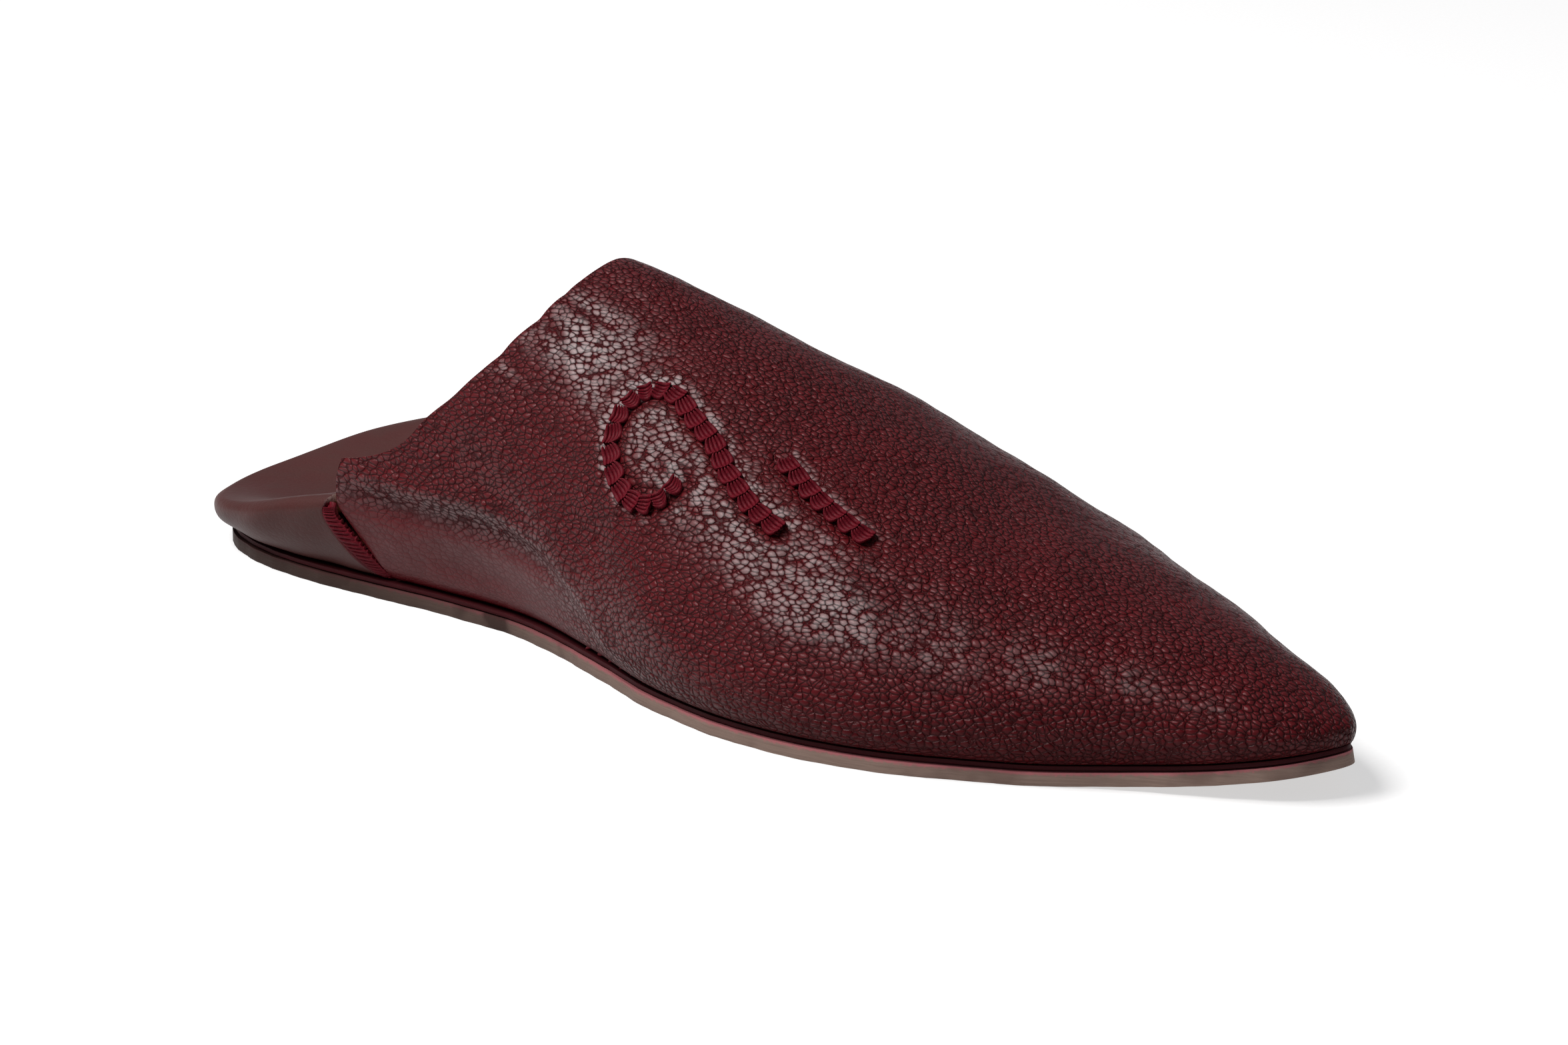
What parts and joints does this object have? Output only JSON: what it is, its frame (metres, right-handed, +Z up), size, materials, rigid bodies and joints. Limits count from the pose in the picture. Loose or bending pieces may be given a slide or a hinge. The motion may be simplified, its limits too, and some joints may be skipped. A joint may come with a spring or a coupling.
{
  "type": "babouche slipper",
  "caption": "Pointed leather babouche slipper, right foot: flat sole, deep vamp with silk scroll embroidery, heel leather trodden down inside.",
  "frame": {"origin": "bottom centre of the bounding box, on the floor under the middle of the shoe", "axes": "+Y to the pointed toe, +X to the outer side of the right foot, +Z up"},
  "size_m": [0.0986, 0.278, 0.0688],
  "materials": {
    "sole_leather": "undyed vegetable-tanned leather, matt cut edge",
    "burgundy_leather": "deep burgundy tumbled leather, soft sheen",
    "insole_leather": "plain tan leather, matt",
    "silk_thread": "crimson silk thread"
  },
  "bodies": {
    "root": {"outsole": "sole_leather", "middle_sole": "burgundy_leather", "insole": "insole_leather", "vamp": "burgundy_leather", "heel_quarter": "burgundy_leather", "side_seam_band_lateral": "silk_thread", "side_seam_band_medial": "silk_thread"}
  },
  "joints": []
}
